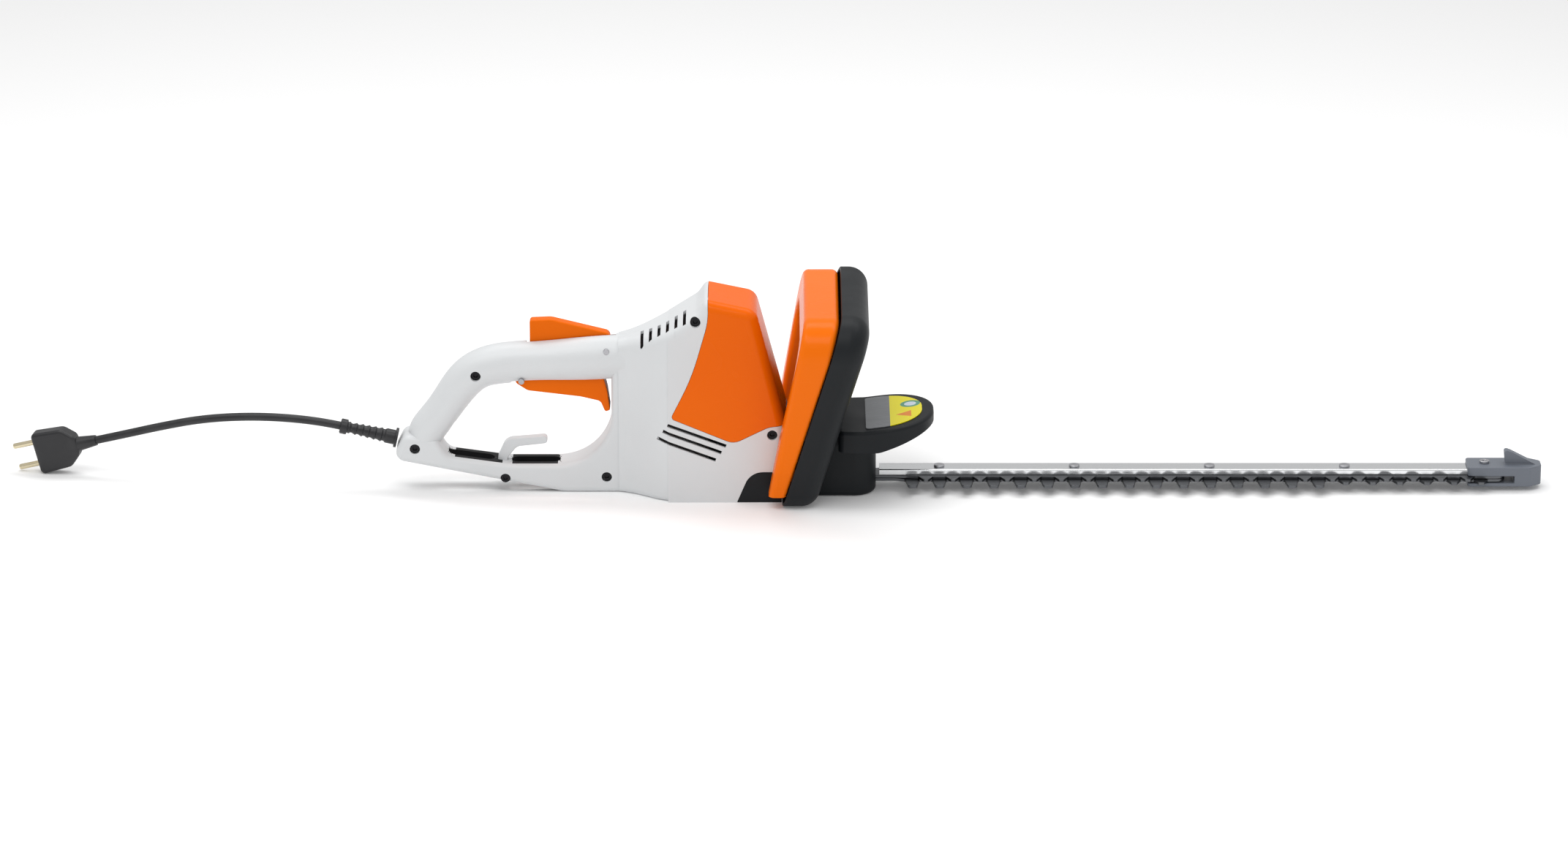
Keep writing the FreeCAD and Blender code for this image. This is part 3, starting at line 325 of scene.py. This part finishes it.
def makeFinishes():
    white = grainedPlastic("housingWhite", (0.69, 0.705, 0.715), (0.63, 0.645, 0.655), 0.4)
    orange = glossPlastic("coverOrange", (0.86, 0.145, 0.001), (0.8, 0.12, 0.001), 0.27)
    bow = glossPlastic("bowOrange", (0.9, 0.17, 0.002), (0.84, 0.145, 0.001), 0.27)
    control = grainedPlastic("controlOrange", (0.84, 0.15, 0.001), (0.76, 0.12, 0.001), 0.42,
                             specular_ior_level=0.08)
    guard = grainedPlastic("guardBlack", (0.0095, 0.0115, 0.0135), (0.006, 0.0075, 0.009), 0.5,
                           specular_ior_level=0.22)
    # black of the inner parts, also painted onto the housing's cord-slot walls as painted shade
    dark = grainedPlastic("innerBlackAndPaintedShade", (0.012, 0.012, 0.013), (0.007, 0.007, 0.008), 0.6,
                          specular_ior_level=0.2)
    tip = grainedPlastic("tipGrey", (0.155, 0.17, 0.2), (0.11, 0.125, 0.15), 0.4)
    blade = groundSteel("bladeSteel", (0.15, 0.155, 0.165), (0.06, 0.063, 0.068), 0.34)
    bar = groundSteel("barBright", (0.84, 0.85, 0.86), (0.7, 0.71, 0.73), 0.22)
    steel = groundSteel("gearSteel", (0.5, 0.5, 0.52), (0.35, 0.35, 0.37), 0.35, along=(1, 1, 1))
    copper = groundSteel("windingCopper", (0.72, 0.3, 0.12), (0.5, 0.2, 0.08), 0.35, along=(1, 1, 0.05))
    brass = groundSteel("contactBrass", (0.78, 0.7, 0.5), (0.6, 0.5, 0.33), 0.22, along=(1, 1, 1))
    screw = groundSteel("screwBlack", (0.03, 0.03, 0.032), (0.018, 0.018, 0.02), 0.4, along=(1, 1, 1))
    cord = cordRubber("cordBlack", (0.012, 0.012, 0.014), 0.42)
    return {
        "housing_white": white, "cover_orange": orange, "control_orange": control,
        "guard_black": guard, "screw_black": screw, "blade_steel": blade, "bar_aluminium": bar,
        "tip_grey": tip, "gear_steel": steel, "pin_steel": steel, "spring_steel": steel,
        "lamination_steel": steel, "winding_copper": copper, "commutator_brass": brass,
        "carbon_black": dark, "inner_black": dark, "cord_black": cord, "plug_black": cord,
        "pin_brass": brass, "label_print": printedLabel("labelPrint", labelPrint), "bow": bow,
    }


# Shared modelling steps ------------------------------------------------------

def newPiece(name, bm, material, smooth=True, corner=35.0):
    mesh = bpy.data.meshes.new(name)
    bm.to_mesh(mesh)
    bm.free()
    piece = bpy.data.objects.new(name, mesh)
    bpy.context.scene.collection.objects.link(piece)
    if smooth:
        mesh.polygons.foreach_set("use_smooth", [True] * len(mesh.polygons))
        mesh.set_sharp_from_angle(angle=radians(corner))
    if material:
        mesh.materials.append(material)
    return piece


def stands(piece, body, *nodes, slot=None):
    # the piece rides on a body and stands for CAD nodes
    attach(piece, body)
    if nodes:
        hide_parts(*nodes)
    return piece


def bodyOf(node):
    return nodeOf[node]["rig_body"]


slotOf = {s["node"]: s["material_slot"] for s in frame["record"]["subparts"]}


# whether a point lies in one of the cord-slot boxes whose faces are painted black as painted shade
def inPaintedShadeBox(place):
    return any(all(low[i] <= place[i] <= high[i] for i in range(3)) for low, high in paintedShadeBoxes)


def polished(node, finishes, edge=0.0004, segments=2, corner=32.0, finish=None):
    # a merged copy of a CAD node with its hard edges broken, standing for the node; on the housing halves
    # the faces in the cord slots are painted black as painted shade
    bm = bmesh.new()
    bm.from_mesh(nodeOf[node].data)
    bmesh.ops.remove_doubles(bm, verts=bm.verts, dist=1e-6)
    bmesh.ops.dissolve_limit(bm, angle_limit=radians(0.6), verts=bm.verts, edges=bm.edges)
    material = finishes[finish or slotOf[node]]
    shell = node.startswith("housing_")
    # housing faces inside the cord-slot boxes get the black finish in a second slot: painted shade
    paintedShadeFaces = [face for face in bm.faces if shell and inPaintedShadeBox(face.calc_center_median())]
    for face in paintedShadeFaces:
        face.material_index = 1
    piece = newPiece(node + "_skin", bm, material, corner=corner)
    if paintedShadeFaces:
        piece.data.materials.append(finishes["inner_black"])
    if edge:
        bevel = piece.modifiers.new("edges", "BEVEL")
        bevel.width = edge
        bevel.segments = segments
        bevel.limit_method = "ANGLE"
        bevel.angle_limit = radians(corner)
        bevel.use_clamp_overlap = True
        even = piece.modifiers.new("evenNormals", "WEIGHTED_NORMAL")
        even.mode = "FACE_AREA"
        even.weight = 60
        even.keep_sharp = True
    return stands(piece, bodyOf(node), node, slot=slotOf[node])


# boxes of the two cord slots in the lower beam: their walls lie deep in shade, and the housing faces inside
# them are painted black as painted shade
paintedShadeBoxes = (
    ((-0.4424, -0.0067, 0.001), (-0.4030, 0.0067, 0.045)),
    ((-0.3889, -0.0067, 0.001), (-0.3470, 0.0067, 0.045)),
)

# node: width of its broken edges in metres, finish other than its slot's
outerSkins = {
    "housing_left": (0.0005, None),
    "housing_right": (0.0005, None),
    "motor_cover": (0.0005, None),
    "cord_hook": (0.0006, None),
    "housing_screws": (0.0003, None),
    "trigger": (0.0004, None),
    "trigger_pin": (0.0003, None),
    "lock_lever": (0.0004, None),
    "lock_pin": (0.0003, None),
    "front_bow": (0.0008, "bow"),
    "front_switch_bar": (0.0006, None),
    "hand_guard": (0.0006, None),
    "gear_case": (0.0006, None),
    "tongue": (0.0008, None),
    "label_plate": (0.0002, None),
    "lower_blade": (0.0003, None),
    "upper_blade": (0.0003, None),
    "guide_bar": (0.0004, None),
    "blade_bolts": (0.0004, None),
    "tip_guard": (0.0008, None),
    "tip_screw": (0.0003, None),
    "strain_relief": (0.0003, None),
    "plug_body": (0.0006, None),
    "plug_pins": (0.0003, None),
}


# spring: the joint that shortens it, its fixed end, share of its height that is left
springs = {
    "trigger_spring": ("trigger_pull", (-0.3244, 0.0, 0.111), 0.49),
    "lock_spring": ("lock_press", (-0.3634, 0.005, 0.1145), 0.34),
}


# Cord -------------------------------------------------------------------------

lead = {
    "route": (
        (-0.5342, 0.0, 0.0544),
        (-0.5498, 0.0, 0.05793),
        (-0.5822, 0.005, 0.06),
        (-0.6172, 0.011, 0.059),
        (-0.6542, 0.017, 0.0545),
        (-0.6892, 0.0225, 0.046),
        (-0.7202, 0.027, 0.0374),
        (-0.7452, 0.0305, 0.0308),
    ),
    "diameter": 0.007,
    "length": 0.217,
}


def makeCord(finishes):
    curve = bpy.data.curves.new("mains_lead", "CURVE")
    curve.dimensions = "3D"
    spline = curve.splines.new("NURBS")
    spline.points.add(len(lead["route"]) - 1)
    for point, place in zip(spline.points, lead["route"]):
        point.co = tuple(place) + (1,)
    spline.order_u = 3
    spline.use_endpoint_u = True
    spline.resolution_u = 12
    curve.bevel_depth = lead["diameter"] / 2
    curve.bevel_resolution = 6
    curve.use_fill_caps = True
    cord = bpy.data.objects.new("mains_lead", curve)
    bpy.context.scene.collection.objects.link(cord)
    curve.materials.append(finishes["cord_black"])
    stands(cord, "machine", "mains_cord", slot="cord_black")
    return cord


# Build ------------------------------------------------------------------------

makeCamera()
makeStudio()
finishes = makeFinishes()
cord = makeCord(finishes)
print("cord and studio made")

skins = {node: polished(node, finishes, edge, finish=finish)
         for node, (edge, finish) in outerSkins.items()}
for node, piece in nodeOf.items():
    if node not in outerSkins and node != "mains_cord":
        piece.data.materials.clear()
        piece.data.materials.append(finishes[slotOf[node]])
for node, (joint, anchor, keep) in springs.items():
    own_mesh(nodeOf[node])
print("skins made")
